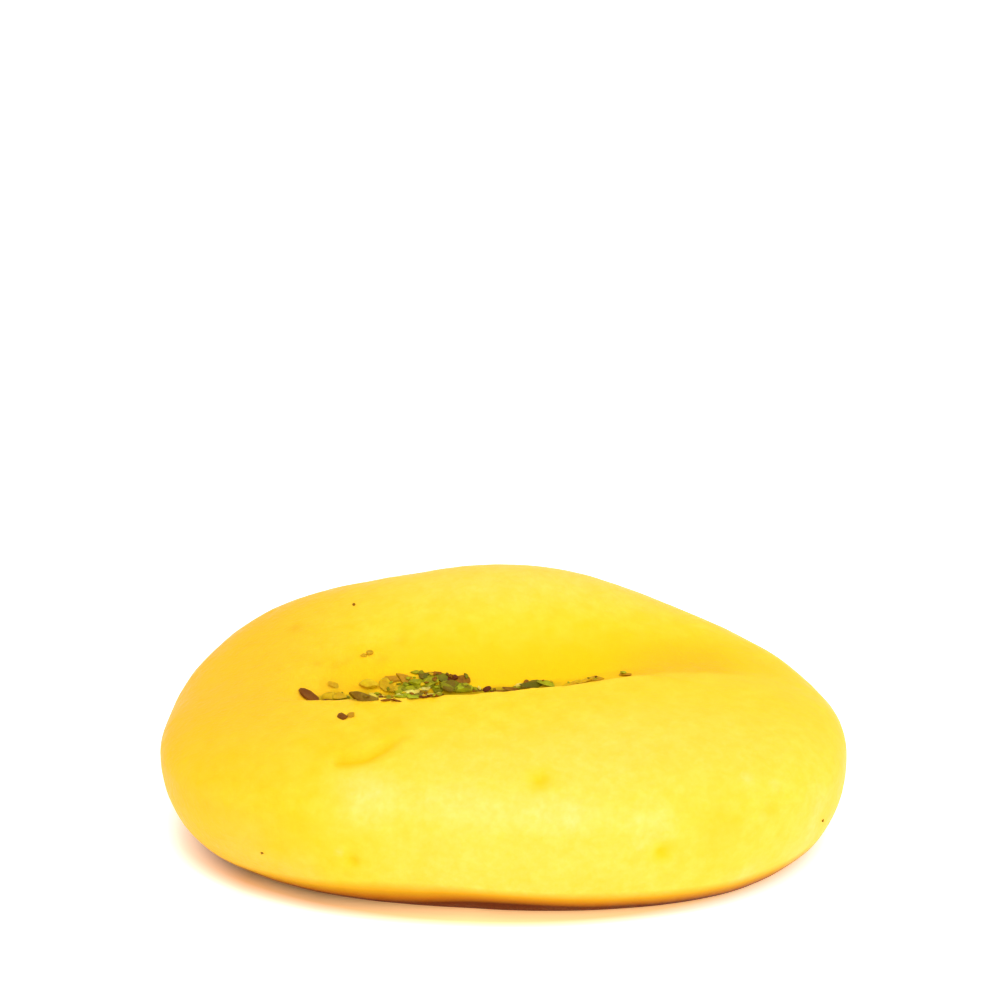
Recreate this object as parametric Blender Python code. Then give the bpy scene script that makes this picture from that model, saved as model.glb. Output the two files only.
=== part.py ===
"""Sandesh: a hand-shaped oval sweet of fresh cheese, with a pressed crease full of chopped pistachio.

Metres, +Z up. The sweet rests on z = 0 with its long side along X. A crease runs across its top from
the front left to the back right. In front of it (-Y) lies the low lobe, behind it (+Y) the high one,
and the ground between them is a dish that deepens towards the crease.
"""
import math
import random
from collections import namedtuple

import bmesh
import bpy
from mathutils import Matrix, Vector

# The oval seen from above. A fullness of 2 is an ellipse, and more is blunter.
HALF_LENGTH = 0.0270
SPINE_Y = -0.0008
FRONT_WIDTH = 0.0167
BACK_WIDTH = 0.0183
FRONT_LEFT_FULLNESS = 2.85
BACK_LEFT_FULLNESS = 2.60
FRONT_RIGHT_FULLNESS = 2.20
BACK_RIGHT_FULLNESS = 2.35
SIDE_BLEND = 1.5

# Heights, and how blunt the sweet is seen from the side and in section
WAIST_LEFT = 0.0074
WAIST_RIGHT = 0.0072
FRONT_TOP = 0.0135
BACK_TOP = 0.0182
LEFT_END_FULLNESS = 2.2
RIGHT_END_FULLNESS = 2.3
TOP_FULLNESS = 2.35
UNDER_FULLNESS = 2.45
UNDER_DEPTH = 0.0129
BASE_FILLET = 0.0021
FLAT_CUT = 0.00006

# The crest of the back lobe swells in the middle
CREST_SWELL = 0.0015
CREST_SWELL_X = 0.0010
CREST_SWELL_REACH = 0.0090

# The crease: where its floor runs, how deep it is and how far it and the dish reach
CREASE_Y = -0.0034
CREASE_SLOPE = 0.285
CREASE_BEND = 13.0
CREASE_EASE = 28.0
CREASE_EASES_FROM = 0.0085
CREASE_DEPTH = 0.0010
CREASE_REACH = 0.0040
LIP_WIDTH = 0.0008
LIP_WIDTH_RIGHT = 0.0026
LIP_WIDENS_FROM = 0.0090
CREASE_START = -0.0175
CREASE_FULL_FROM = -0.0140
CREASE_FULL_TO = -0.0060
CREASE_END = 0.0195
CREASE_SQUARE = math.cos(math.atan(CREASE_SLOPE))
CREASE_FADE_RISE = 0.35
DISH_REACH_LEFT = 0.0170
DISH_REACH_RIGHT = 0.0160

# The net of the surface: stations along X, and rings of vertices round each of them
STATIONS = 50
RING = 56
CREASE_MERIDIAN = RING // 4
MERIDIAN_CROWDING = 0.5
NET_STRAIGHT_TO = 0.0185
LEAST_LIP_ANGLE = math.radians(1.6)

# Chopped pistachio, green or pale kernel or brown skin: each group lies along the crease from one x
# to another and, measured square to the crease, from one distance behind its floor to another. Less
# than 0 is in front of the floor. slim is width over length, stack is how far chips are piled up, aim is
# the turn of their length from the crease's line in degrees, and swing how far it strays either way.
ChipGroup = namedtuple("ChipGroup", "kind count start end near far short long slim stack aim swing")
CHIP_GROUPS = (
    ChipGroup("skin", 1, -0.0150, -0.0149, 0.0008, 0.0009, 0.0020, 0.0021, 0.44, 0.2, -18, 3),
    ChipGroup("pale", 2, -0.0142, -0.0123, 0.0009, 0.0014, 0.0012, 0.0015, 0.55, 0.0, 0, 25),
    ChipGroup("pale", 1, -0.0134, -0.0130, 0.0019, 0.0021, 0.0010, 0.0011, 0.36, 0.4, -20, 8),
    ChipGroup("skin", 2, -0.0140, -0.0119, 0.0005, 0.0007, 0.0012, 0.0014, 0.28, 0.9, 0, 10),
    ChipGroup("skin", 1, -0.0107, -0.0105, -0.0009, -0.0008, 0.0022, 0.0023, 0.62, 0.4, -6, 4),
    ChipGroup("pale", 7, -0.0105, -0.0079, 0.0004, 0.0021, 0.0010, 0.0016, 0.66, 0.5, 0, 35),
    ChipGroup("pale", 2, -0.0088, -0.0077, 0.0022, 0.0026, 0.0012, 0.0014, 0.62, 0.6, 0, 35),
    ChipGroup("green", 2, -0.0073, -0.0062, 0.0026, 0.0029, 0.0006, 0.0007, 0.75, 0.3, 0, 35),
    ChipGroup("green", 8, -0.0078, -0.0053, 0.0012, 0.0025, 0.0011, 0.0016, 0.62, 0.8, 0, 35),
    ChipGroup("pale", 5, -0.0079, -0.0052, 0.0005, 0.0015, 0.0009, 0.0013, 0.66, 1.3, 0, 35),
    ChipGroup("green", 4, -0.0077, -0.0062, -0.0014, -0.0004, 0.0009, 0.0012, 0.62, 0.6, 0, 35),
    ChipGroup("skin", 2, -0.0088, -0.0077, -0.0013, -0.0011, 0.0009, 0.0011, 0.42, 0.3, 0, 12),
    ChipGroup("skin", 2, -0.0060, -0.0048, -0.0010, -0.0008, 0.0009, 0.0011, 0.36, 0.3, 8, 12),
    ChipGroup("green", 4, -0.0060, -0.0041, 0.0017, 0.0024, 0.0011, 0.0014, 0.55, 1.0, 0, 25),
    ChipGroup("skin", 1, -0.0041, -0.0039, 0.0020, 0.0021, 0.0008, 0.0009, 0.75, 1.4, 0, 15),
    ChipGroup("skin", 1, -0.0033, -0.0031, 0.0019, 0.0021, 0.0011, 0.0012, 0.62, 1.1, -10, 10),
    ChipGroup("green", 4, -0.0051, -0.0036, 0.0007, 0.0016, 0.0011, 0.0014, 0.62, 1.4, 0, 30),
    ChipGroup("green", 2, -0.0037, -0.0028, 0.0008, 0.0013, 0.0016, 0.0018, 0.56, 1.2, 0, 8),
    ChipGroup("skin", 1, -0.0021, -0.0019, 0.0011, 0.0012, 0.0009, 0.0010, 0.32, 0.6, -15, 5),
    ChipGroup("skin", 1, -0.0012, -0.0010, 0.0010, 0.0011, 0.0008, 0.0009, 0.62, 0.7, -10, 8),
    ChipGroup("skin", 2, -0.0007, 0.0011, 0.0005, 0.0007, 0.0012, 0.0014, 0.28, 0.8, 0, 6),
    ChipGroup("pale", 1, 0.0012, 0.0013, 0.0010, 0.0011, 0.0005, 0.0006, 0.80, 0.8, 0, 30),
    ChipGroup("green", 1, 0.0020, 0.0022, 0.0009, 0.0010, 0.0019, 0.0020, 0.36, 0.9, 10, 4),
    ChipGroup("green", 1, 0.0034, 0.0035, 0.0008, 0.0009, 0.0017, 0.0018, 0.42, 0.9, -12, 4),
    ChipGroup("pale", 3, 0.0048, 0.0080, 0.0003, 0.0006, 0.0013, 0.0016, 0.42, 0.9, 0, 8),
    ChipGroup("pale", 1, 0.0093, 0.0095, 0.0003, 0.0004, 0.0008, 0.0009, 0.75, 0.4, 0, 30),
    ChipGroup("skin", 1, -0.0119, -0.0118, -0.0033, -0.0032, 0.0008, 0.0009, 0.90, 0.0, 0, 30),
    ChipGroup("pale", 1, -0.0112, -0.0111, -0.0031, -0.0030, 0.0006, 0.0007, 1.00, 0.0, 0, 30),
    ChipGroup("pale", 2, -0.0115, -0.0107, 0.0045, 0.0050, 0.0005, 0.0006, 0.80, 0.0, 0, 30),
)
CHIP_SEED = 15
CHIP_SIDES = 6
CHIP_THICKNESS = 0.45
CHIP_TOP_SHARE = 0.72
CHIP_ROUGHNESS = 0.10
CHIP_SINK = 0.30
CHIP_TILT = math.radians(16)
SPACING_SPREAD = (0.2, 0.8)
WIDTH_SPREAD = (0.85, 1.15)
THICKNESS_SPREAD = (0.8, 1.2)
STACK_SPREAD = (0.0, 0.6)
SLOPE_STEP = 0.0008

SWEET_COLOUR = (0.95, 0.68, 0.04, 1.0)
SWEET_ROUGHNESS = 0.55
SMOOTH_ANGLE = math.radians(40)
FLAT_TOLERANCE = 1e-9
WELD_DISTANCE = 1e-6
SLIVER = 4e-6


def smooth_step(t):
    t = min(max(t, 0.0), 1.0)
    return t * t * (3.0 - 2.0 * t)


def mix(a, b, share):
    return a + (b - a) * share


def oval(share, fullness):
    """Height of a superellipse of half-axes 1 at a share of its half-length."""
    return max(0.0, 1.0 - abs(share) ** fullness) ** (1.0 / fullness)


def crease_y(x):
    """The crease's line: it bends back towards the right, and less so near its end."""
    eased = max(x - CREASE_EASES_FROM, 0.0)
    return CREASE_Y + CREASE_SLOPE * x + CREASE_BEND * x * x - CREASE_EASE * eased * eased


def lip_width(x):
    """The lip is sharp along most of the crease and softens where the crease runs out."""
    share = (x - LIP_WIDENS_FROM) / (CREASE_END - LIP_WIDENS_FROM)
    return mix(LIP_WIDTH, LIP_WIDTH_RIGHT, smooth_step(share))


def behind_crease(x, y):
    """Distance behind the crease floor, square to it; negative in front."""
    return (y - crease_y(x)) * CREASE_SQUARE


def crease_cut(x, y):
    """How far the crease cuts down: a steep lip in front and a slow rise behind."""
    along = smooth_step((x - CREASE_START) / (CREASE_FULL_FROM - CREASE_START))
    along *= 1.0 - smooth_step((x - CREASE_FULL_TO) / (CREASE_END - CREASE_FULL_TO))
    behind = behind_crease(x, y)
    reach = CREASE_REACH if behind > 0.0 else lip_width(x)
    return along * CREASE_DEPTH * (1.0 - smooth_step(abs(behind) / reach))


def lobe_top(x, y):
    """Full height of the loaf there: the front lobe's, rising through the dish to the back lobe's."""
    rightness = 0.5 + 0.5 * x / HALF_LENGTH
    reach = mix(DISH_REACH_LEFT, DISH_REACH_RIGHT, rightness)
    swell = CREST_SWELL * math.exp(-((x - CREST_SWELL_X) / CREST_SWELL_REACH) ** 2)
    return mix(FRONT_TOP, BACK_TOP + swell, smooth_step(behind_crease(x, y) / reach))


def half_width(x, angle):
    """Half-width of the oval at x, on the side that the ring angle looks to."""
    backness = 0.5 + 0.5 * min(max(SIDE_BLEND * math.cos(angle), -1.0), 1.0)
    if x < 0.0:
        fullness = mix(FRONT_LEFT_FULLNESS, BACK_LEFT_FULLNESS, backness)
    else:
        fullness = mix(FRONT_RIGHT_FULLNESS, BACK_RIGHT_FULLNESS, backness)
    side = BACK_WIDTH if math.cos(angle) >= 0.0 else FRONT_WIDTH
    return side * oval(x / HALF_LENGTH, fullness)


def section_point(x, angle):
    """Point of the section at x: angle 0 is the back, 90 degrees the top, 180 the front, 270 below."""
    across = math.cos(angle)
    rise = math.sin(angle)
    bluntness = 2.0 / (TOP_FULLNESS if rise >= 0.0 else UNDER_FULLNESS)
    y = SPINE_Y + half_width(x, angle) * math.copysign(abs(across) ** bluntness, across)
    end_fullness = LEFT_END_FULLNESS if x < 0.0 else RIGHT_END_FULLNESS
    share = oval(x / HALF_LENGTH, end_fullness) * abs(rise) ** bluntness
    waist = mix(WAIST_LEFT, WAIST_RIGHT, 0.5 + 0.5 * x / HALF_LENGTH)
    if rise >= 0.0:
        z = waist + (lobe_top(x, y) - waist) * share
        z -= crease_cut(x, y) * smooth_step(rise / CREASE_FADE_RISE)
        return Vector((x, y, z))
    z = waist - UNDER_DEPTH * share
    if z < BASE_FILLET:
        z = max(z + BASE_FILLET, 0.0) ** 2 / (4.0 * BASE_FILLET)
    return Vector((x, y, z if z > FLAT_CUT else 0.0))


def top_angle(x, y):
    """Ring angle of the upper surface that lies over (x, y)."""
    low = 0.0
    high = math.pi
    for _ in range(40):
        middle = 0.5 * (low + high)
        if section_point(x, middle).y > y:
            low = middle
        else:
            high = middle
    return low


def top_point(x, y):
    return section_point(x, top_angle(x, y))


def net_y(x, y):
    """The same y over most of the length; towards the ends it goes back to the spine."""
    leave = smooth_step((abs(x) - NET_STRAIGHT_TO) / (HALF_LENGTH - NET_STRAIGHT_TO))
    return SPINE_Y + (y - SPINE_Y) * (1.0 - leave)


def crowded(u):
    """0 to 1 as 0 to 1, with smaller steps near 1."""
    return u + MERIDIAN_CROWDING * math.sin(math.pi * u) / math.pi


def meridian_angle(x, meridian):
    """Section angle of a meridian: one keeps to the crease's floor and the next to its lip."""
    half_ring = RING // 2
    if meridian >= half_ring:
        return 2.0 * math.pi * meridian / RING
    floor = top_angle(x, net_y(x, crease_y(x)))
    if meridian <= CREASE_MERIDIAN:
        return floor * crowded(meridian / CREASE_MERIDIAN)
    lip = top_angle(x, net_y(x, crease_y(x) - lip_width(x) / CREASE_SQUARE))
    lip = max(lip, floor + LEAST_LIP_ANGLE)
    front = (half_ring - meridian) / (half_ring - CREASE_MERIDIAN - 1)
    return math.pi - (math.pi - lip) * crowded(front)


def make_mesh_object(name, net, collection):
    mesh = bpy.data.meshes.new(name)
    net.to_mesh(mesh)
    net.free()
    thing = bpy.data.objects.new(name, mesh)
    collection.objects.link(thing)
    return thing


def build_loaf(collection):
    """A sphere with its poles at the two ends, each vertex moved to its place on the loaf."""
    net = bmesh.new()
    bmesh.ops.create_uvsphere(net, u_segments=RING, v_segments=STATIONS, radius=1.0)
    for vertex in net.verts:
        station = math.asin(min(max(vertex.co.z, -1.0), 1.0))
        turn = math.atan2(vertex.co.y, vertex.co.x) % (2.0 * math.pi)
        meridian = round(turn * RING / (2.0 * math.pi)) % RING
        x = HALF_LENGTH * math.sin(station)
        if abs(x) > HALF_LENGTH - WELD_DISTANCE:
            vertex.co = section_point(x, 0.0)
        else:
            vertex.co = section_point(x, meridian_angle(x, meridian))
    flat = [face for face in net.faces if all(vertex.co.z < FLAT_TOLERANCE for vertex in face.verts)]
    bmesh.ops.dissolve_faces(net, faces=flat, use_verts=True)
    bmesh.ops.recalc_face_normals(net, faces=net.faces)
    return make_mesh_object("sandesh", net, collection)


def surface_frame(x, y, turn, tilt, roll):
    """Axes of a thing lying on the top at (x, y): its length along the crease, turned, tilted, rolled."""
    slope_x = (top_point(x + SLOPE_STEP, y).z - top_point(x - SLOPE_STEP, y).z) / (2.0 * SLOPE_STEP)
    slope_y = (top_point(x, y + SLOPE_STEP).z - top_point(x, y - SLOPE_STEP).z) / (2.0 * SLOPE_STEP)
    up = Vector((-slope_x, -slope_y, 1.0)).normalized()
    along = Vector((2.0 * SLOPE_STEP, crease_y(x + SLOPE_STEP) - crease_y(x - SLOPE_STEP), 0.0))
    along = (along - along.dot(up) * up).normalized()
    frame = Matrix((along, up.cross(along), up)).transposed().to_4x4()
    frame = frame @ Matrix.Rotation(turn, 4, "Z")
    return frame @ Matrix.Rotation(tilt, 4, "Y") @ Matrix.Rotation(roll, 4, "X")


def chip_places():
    """Kind, size and place of every chip, drawn group by group."""
    draw = random.Random(CHIP_SEED)
    places = []
    for group in CHIP_GROUPS:
        for number in range(group.count):
            share = (number + draw.uniform(*SPACING_SPREAD)) / group.count
            x = mix(group.start, group.end, share)
            behind = draw.uniform(group.near, group.far)
            y = crease_y(x) + behind / CREASE_SQUARE
            length = draw.uniform(group.short, group.long)
            width = length * group.slim * draw.uniform(*WIDTH_SPREAD)
            thickness = width * CHIP_THICKNESS * draw.uniform(*THICKNESS_SPREAD)
            turn = math.radians(group.aim + draw.uniform(-group.swing, group.swing))
            tilt = draw.uniform(-CHIP_TILT, CHIP_TILT)
            roll = draw.uniform(-CHIP_TILT, CHIP_TILT)
            lift = thickness * (0.5 - CHIP_SINK + group.stack * draw.uniform(*STACK_SPREAD))
            frame = surface_frame(x, y, turn, tilt, roll)
            spot = top_point(x, y) + frame.to_3x3() @ Vector((0.0, 0.0, lift))
            places.append((group.kind, Matrix.Translation(spot) @ frame, (length, width, thickness)))
    return places


def build_chips(collection):
    """One rough six-sided chip at each place, broader below than above."""
    draw = random.Random(CHIP_SEED + 1)
    for number, (kind, place, size) in enumerate(chip_places()):
        net = bmesh.new()
        bmesh.ops.create_cone(net, cap_ends=True, segments=CHIP_SIDES, radius1=0.5,
                              radius2=0.5 * CHIP_TOP_SHARE, depth=1.0)
        for vertex in net.verts:
            vertex.co.x *= 1.0 + draw.uniform(-CHIP_ROUGHNESS, CHIP_ROUGHNESS)
            vertex.co.y *= 1.0 + draw.uniform(-CHIP_ROUGHNESS, CHIP_ROUGHNESS)
            vertex.co = place @ Vector(vertex.co[axis] * size[axis] for axis in range(3))
        make_mesh_object(f"{kind}_{number}", net, collection)


def keep_outer_body(net):
    """Drops every loose scrap and the wall of any sealed hollow: all but the largest connected shell."""
    left = set(net.faces)
    shells = []
    while left:
        shell = {left.pop()}
        edge_of_shell = list(shell)
        while edge_of_shell:
            face = edge_of_shell.pop()
            for edge in face.edges:
                for neighbour in edge.link_faces:
                    if neighbour in left:
                        left.remove(neighbour)
                        shell.add(neighbour)
                        edge_of_shell.append(neighbour)
        shells.append(shell)
    largest = max(shells, key=len)
    scraps = [face for face in net.faces if face not in largest]
    bmesh.ops.delete(net, geom=scraps, context="FACES")


def fuse(loaf, chips):
    """Joins the chips to the loaf in one union, applies it and removes the chips."""
    union = loaf.modifiers.new("chips on the loaf", "BOOLEAN")
    union.operation = "UNION"
    union.operand_type = "COLLECTION"
    union.collection = chips
    union.solver = "EXACT"
    bpy.context.view_layer.update()
    graph = bpy.context.evaluated_depsgraph_get()
    fused = bpy.data.meshes.new_from_object(loaf.evaluated_get(graph))
    loaf.modifiers.clear()
    net = bmesh.new()
    net.from_mesh(fused)
    keep_outer_body(net)
    bmesh.ops.triangulate(net, faces=net.faces)
    bmesh.ops.dissolve_degenerate(net, edges=net.edges, dist=SLIVER)
    net.to_mesh(loaf.data)
    net.free()
    bpy.data.meshes.remove(fused)
    for chip in list(chips.objects):
        bpy.data.objects.remove(chip)
    bpy.data.collections.remove(chips)


def sweet_material():
    material = bpy.data.materials.new("saffron_sandesh")
    material.use_nodes = True
    shader = material.node_tree.nodes["Principled BSDF"]
    shader.inputs["Base Color"].default_value = SWEET_COLOUR
    shader.inputs["Roughness"].default_value = SWEET_ROUGHNESS
    shader.inputs["Metallic"].default_value = 0.0
    return material


def main():
    for thing in list(bpy.data.objects):
        bpy.data.objects.remove(thing)
    sweet = bpy.data.collections.new("sandesh")
    chips = bpy.data.collections.new("chips")
    bpy.context.scene.collection.children.link(sweet)
    bpy.context.scene.collection.children.link(chips)
    loaf = build_loaf(sweet)
    build_chips(chips)
    fuse(loaf, chips)
    loaf.data.materials.append(sweet_material())
    loaf.data.shade_smooth()
    loaf.data.set_sharp_from_angle(angle=SMOOTH_ANGLE)


main()
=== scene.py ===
"""Looks of the sandesh: a sweet of saffron-yellow fresh cheese with chopped pistachio in its crease.

Metres, +Z up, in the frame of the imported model. The sweet's fine surface follows the same form as the
solid, with the small dents, wrinkle and pits of moulding by hand. The pistachio lies where the solid
has its chips, as cut kernels and skins of their own.
"""

import math
import random
from collections import namedtuple

import bmesh
import bpy
from mathutils import Matrix, Vector, noise
from mathutils.bvhtree import BVHTree


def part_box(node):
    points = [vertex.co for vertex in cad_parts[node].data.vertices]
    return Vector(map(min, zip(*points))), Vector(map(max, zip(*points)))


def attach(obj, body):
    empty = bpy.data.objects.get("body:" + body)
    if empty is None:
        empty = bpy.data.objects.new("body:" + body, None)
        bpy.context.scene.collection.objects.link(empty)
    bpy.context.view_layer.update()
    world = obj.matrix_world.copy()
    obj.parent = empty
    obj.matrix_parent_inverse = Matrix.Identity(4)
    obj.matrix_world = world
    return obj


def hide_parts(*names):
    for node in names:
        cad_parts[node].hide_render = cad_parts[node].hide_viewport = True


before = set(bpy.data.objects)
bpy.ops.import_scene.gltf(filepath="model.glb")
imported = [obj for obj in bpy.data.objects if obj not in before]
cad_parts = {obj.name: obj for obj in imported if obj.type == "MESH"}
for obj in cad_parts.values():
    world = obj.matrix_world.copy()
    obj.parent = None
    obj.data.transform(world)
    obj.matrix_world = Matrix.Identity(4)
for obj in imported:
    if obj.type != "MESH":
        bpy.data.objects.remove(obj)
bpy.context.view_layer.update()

NODE = "sandesh"
MM = 0.001

# The oval seen from above. A fullness of 2 is an ellipse, and more is blunter.
HALF_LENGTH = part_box(NODE)[1].x
SPINE_Y = -0.8 * MM
FRONT_WIDTH = 16.7 * MM
BACK_WIDTH = 18.3 * MM
FRONT_LEFT_FULLNESS = 2.85
BACK_LEFT_FULLNESS = 2.60
FRONT_RIGHT_FULLNESS = 2.20
BACK_RIGHT_FULLNESS = 2.35
SIDE_BLEND = 1.5

# Heights, and how blunt the sweet is seen from the side and in section
WAIST_LEFT = 7.4 * MM
WAIST_RIGHT = 7.2 * MM
FRONT_TOP = 13.5 * MM
BACK_TOP = 18.2 * MM
LEFT_END_FULLNESS = 2.2
RIGHT_END_FULLNESS = 2.3
TOP_FULLNESS = 2.35
UNDER_FULLNESS = 2.45
UNDER_DEPTH = 12.9 * MM
BASE_FILLET = 2.1 * MM

# The crest of the back lobe swells in the middle
CREST_SWELL = 1.5 * MM
CREST_SWELL_X = 1.0 * MM
CREST_SWELL_REACH = 9.0 * MM

# The crease: where its floor runs, how deep it is and how far it and the dish reach
CREASE_Y = -3.4 * MM
CREASE_SLOPE = 0.285
CREASE_BEND = 0.013 / MM
CREASE_EASE = 0.028 / MM
CREASE_EASES_FROM = 8.5 * MM
CREASE_DEPTH = 1.0 * MM
CREASE_REACH = 4.0 * MM
LIP_WIDTH = 0.8 * MM
LIP_WIDTH_RIGHT = 2.6 * MM
LIP_WIDENS_FROM = 9.0 * MM
CREASE_START = -17.5 * MM
CREASE_FULL_FROM = -14.0 * MM
CREASE_FULL_TO = -6.0 * MM
CREASE_END = 19.5 * MM
CREASE_SQUARE = math.cos(math.atan(CREASE_SLOPE))
CREASE_FADE_RISE = 0.35
DISH_REACH_LEFT = 17.0 * MM
DISH_REACH_RIGHT = 16.0 * MM
CREASE_WOBBLE = 0.16 * MM
CREASE_WOBBLE_LENGTH = 1.5 * MM
FINE_WOBBLE_SHARE = 0.5
FINE_WOBBLE_RATE = 2.7

# The fine net: stations along X, and the meridians of a ring, counted from the back over the top
STATIONS = 300
BACK_STEPS = 92
LIP_STEPS = 10
FRONT_STEPS = 82
SIDE_STEPS = 46
BASE_STEPS = 6
RING = BACK_STEPS + LIP_STEPS + FRONT_STEPS + 2 * SIDE_STEPS + 2 * BASE_STEPS
STEP_CROWDING = 0.5
NET_STRAIGHT_TO = 18.5 * MM
LEAST_LIP_ANGLE = math.radians(1.6)
MOST_FLAT_ANGLE = math.radians(86.0)
WELD_DISTANCE = 0.001 * MM
ANGLE_HALVINGS = 40

# Relief pressed in by hand: (length, height) of each layer of soft dents. All relief fades at the base.
DENT_LAYERS = ((9.0 * MM, 0.16 * MM), (3.6 * MM, 0.06 * MM),
               (1.7 * MM, 0.030 * MM), (0.7 * MM, 0.009 * MM))
BASE_CALM_HEIGHT = 1.2 * MM

# A pit, or with a negative depth a bump: along X, the section angle in degrees, radius and depth
Pit = namedtuple("Pit", "x turn radius depth")
PITS = (
    Pit(4.1 * MM, 142.5, 0.70 * MM, 0.34 * MM),
    Pit(13.5 * MM, 183.0, 0.60 * MM, 0.34 * MM),
    Pit(12.7 * MM, 182.5, 0.50 * MM, -0.12 * MM),
    Pit(-9.9 * MM, 188.2, 0.42 * MM, 0.34 * MM),
    Pit(-10.7 * MM, 185.2, 0.45 * MM, -0.14 * MM),
    Pit(4.6 * MM, 162.2, 0.50 * MM, 0.07 * MM),
    Pit(-0.1 * MM, 175.0, 0.45 * MM, 0.07 * MM),
    Pit(7.9 * MM, 110.8, 0.60 * MM, -0.06 * MM),
    Pit(19.4 * MM, 114.2, 0.60 * MM, 0.07 * MM),
)
PIT_REACH_RADII = 2.5
TINTED_PIT_DEPTH = 0.10 * MM

# Faint pits all over: places are shares of the half-length, and turns are half turns of the section
LOOSE_PITS = 110
LOOSE_PIT_PLACES = (-0.9, 0.9)
LOOSE_PIT_TURNS = (-0.1, 1.1)
LOOSE_PIT_RADII = (0.25 * MM, 0.60 * MM)
LOOSE_PIT_DEPTHS = (0.015 * MM, 0.05 * MM)
PIT_SEED = 5

# The wrinkle on the front lobe, from its left end to its right, by x and y
WRINKLE = ((-12.1 * MM, -13.2 * MM), (-10.6 * MM, -13.3 * MM), (-9.4 * MM, -13.1 * MM),
           (-8.3 * MM, -12.3 * MM), (-7.2 * MM, -11.2 * MM), (-5.8 * MM, -9.9 * MM))
WRINKLE_WIDTH = 0.50 * MM
WRINKLE_DEPTH = 0.30 * MM
WRINKLE_START = 0.10
WRINKLE_FADES_FROM = 0.66
WRINKLE_REACH = 3.0 * WRINKLE_WIDTH

# Thin olive flecks that the nuts leave on the curd: x, distance behind the crease, radius and strength
FLECKS = (
    (-17.4 * MM, 8.5 * MM, 0.45 * MM, 0.34),
    (-14.9 * MM, 4.0 * MM, 0.50 * MM, 0.24),
    (-13.4 * MM, 3.8 * MM, 0.55 * MM, 0.24),
    (-12.5 * MM, 4.3 * MM, 0.40 * MM, 0.20),
    (-9.7 * MM, 4.1 * MM, 0.50 * MM, 0.22),
    (-8.5 * MM, 6.0 * MM, 0.60 * MM, 0.16),
)

# Patches of the curd, pale ones of painted highlight and deeper yellow ones: x, section angle, radius and
# strength
HIGHLIGHT_PATCHES = (
    (-7.0 * MM, 160.0, 1.8 * MM, 0.45),
    (6.8 * MM, 163.0, 1.6 * MM, 0.90),
    (11.8 * MM, 168.0, 0.9 * MM, 0.70),
    (11.9 * MM, 181.0, 0.5 * MM, 0.80),
    (14.6 * MM, 150.0, 0.6 * MM, 0.40),
    (16.6 * MM, 135.0, 0.8 * MM, 0.50),
    (19.7 * MM, 142.0, 0.9 * MM, 0.55),
    (21.7 * MM, 150.0, 0.8 * MM, 0.60),
    (20.9 * MM, 175.0, 0.7 * MM, 0.55),
    (25.2 * MM, 182.0, 2.6 * MM, 0.50),
    (-10.8 * MM, 185.4, 0.4 * MM, 0.60),
    (24.0 * MM, 200.0, 3.0 * MM, 0.70),
    (19.5 * MM, 202.0, 2.6 * MM, 0.60),
    (-18.8 * MM, 200.0, 2.8 * MM, 0.55),
    (-14.5 * MM, 203.0, 2.4 * MM, 0.45),
)
DEEP_PATCHES = (
    (-15.9 * MM, 96.8, 2.2 * MM, 0.25),
    (-21.2 * MM, 79.0, 3.2 * MM, 0.35),
    (-11.6 * MM, 124.0, 2.6 * MM, 0.60),
    (-8.2 * MM, 117.0, 2.2 * MM, 0.65),
    (-22.6 * MM, 118.0, 1.5 * MM, 0.45),
    (-19.6 * MM, 140.0, 1.2 * MM, 0.40),
    (17.8 * MM, 176.0, 2.2 * MM, 0.50),
    (21.4 * MM, 168.0, 1.0 * MM, 0.45),
    (19.8 * MM, 62.0, 2.4 * MM, 0.50),
)
PATCH_BREAKS = 2.0 * MM
PATCH_EVENNESS = 0.90
PATCH_RAGGEDNESS = 0.6

# The painted highlight streak along the fullest part of the front, by x and section angle
HIGHLIGHT_STREAK = ((-9.0 * MM, 159.0), (-2.0 * MM, 160.0), (4.0 * MM, 163.0),
              (9.0 * MM, 166.0), (13.0 * MM, 170.0))
HIGHLIGHT_STREAK_WIDTH = 2.6 * MM
HIGHLIGHT_STREAK_STRENGTH = 0.70
HIGHLIGHT_STREAK_BREAKS = 4.0 * MM
HIGHLIGHT_STREAK_RAGGEDNESS = 0.5

# Where the curd's tints lie. A pair says where a tint starts and where it is full: along X, as distance
# behind the crease where the name ends in BEHIND, and as height where it ends in Z.
# The valley's tint is painted shade in the dish behind the crease.
VALLEY_LEFT_X = (-17.0 * MM, -11.0 * MM)
VALLEY_RIGHT_X = (21.5 * MM, 15.5 * MM)
VALLEY_LIP_BEHIND = (-0.3 * MM, 0.3 * MM)
VALLEY_DISH_BEHIND = (7.4 * MM, 2.2 * MM)
# The line in the crease is painted shade along the lip together with the nuts' olive dust.
STAIN_SHADE_LEFT_X = (-15.0 * MM, -14.0 * MM)
STAIN_SHADE_RIGHT_X = (13.0 * MM, 9.0 * MM)
STAIN_SHADE_THINS_X = (2.0 * MM, 6.0 * MM)
STAIN_SHADE_THINS_BY = 0.8
STAIN_SHADE_LIP_BEHIND = (-0.2 * MM, 0.2 * MM)
STAIN_SHADE_NUTS_BEHIND = (1.40 * MM, 0.95 * MM)
FILM_RIGHT_X = (-2.0 * MM, -4.0 * MM)
FILM_BEHIND = 1.2 * MM
FILM_REACH = 1.1 * MM
FILM_STRENGTH = 0.6
FILM_COVER = 0.5
FILM_PATCHINESS = 0.9
FILM_PATCH = 0.9 * MM
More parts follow.
